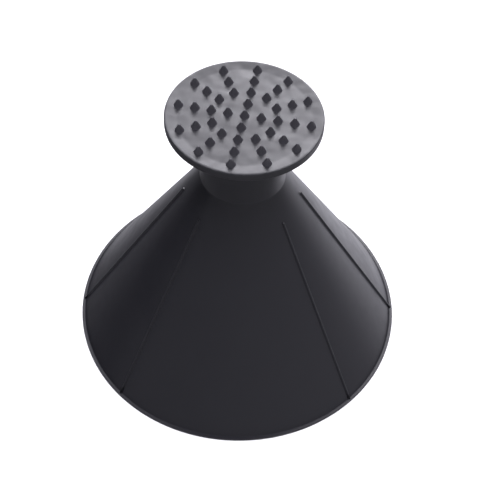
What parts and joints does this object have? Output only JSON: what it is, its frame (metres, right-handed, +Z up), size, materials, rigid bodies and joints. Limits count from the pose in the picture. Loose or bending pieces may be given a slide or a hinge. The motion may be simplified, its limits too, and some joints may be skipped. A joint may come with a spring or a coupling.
{
  "type": "cone ice scraper",
  "caption": "Cone-shaped windscreen ice scraper with a flanged round scraping rim, ribbed cone, tubular neck and a spiked ice-breaker cap that pulls out of the neck to leave a funnel.",
  "frame": {"origin": "centre of the rim's lower face, on the cone's axis", "axes": "+Z up along the cone's axis, from the wide scraping rim to the spiked cap; +X along one of the ribs"},
  "size_m": [0.15, 0.15, 0.131],
  "materials": {
    "cone_plastic": "black moulded plastic, fine satin grain, worn paler along the scraping rim and the ribs",
    "cap_plastic": "black moulded plastic, semi-gloss spiked face, satin edge and underside"
  },
  "bodies": {
    "cone": {"scraper_cone": "cone_plastic"},
    "cap": {"breaker_cap": "cap_plastic"}
  },
  "joints": [
    {"name": "cap_pull", "type": "slide", "parent": "cone", "child": "cap", "axis": [0, 0, 1], "range_m": [0, 0.03]}
  ]
}
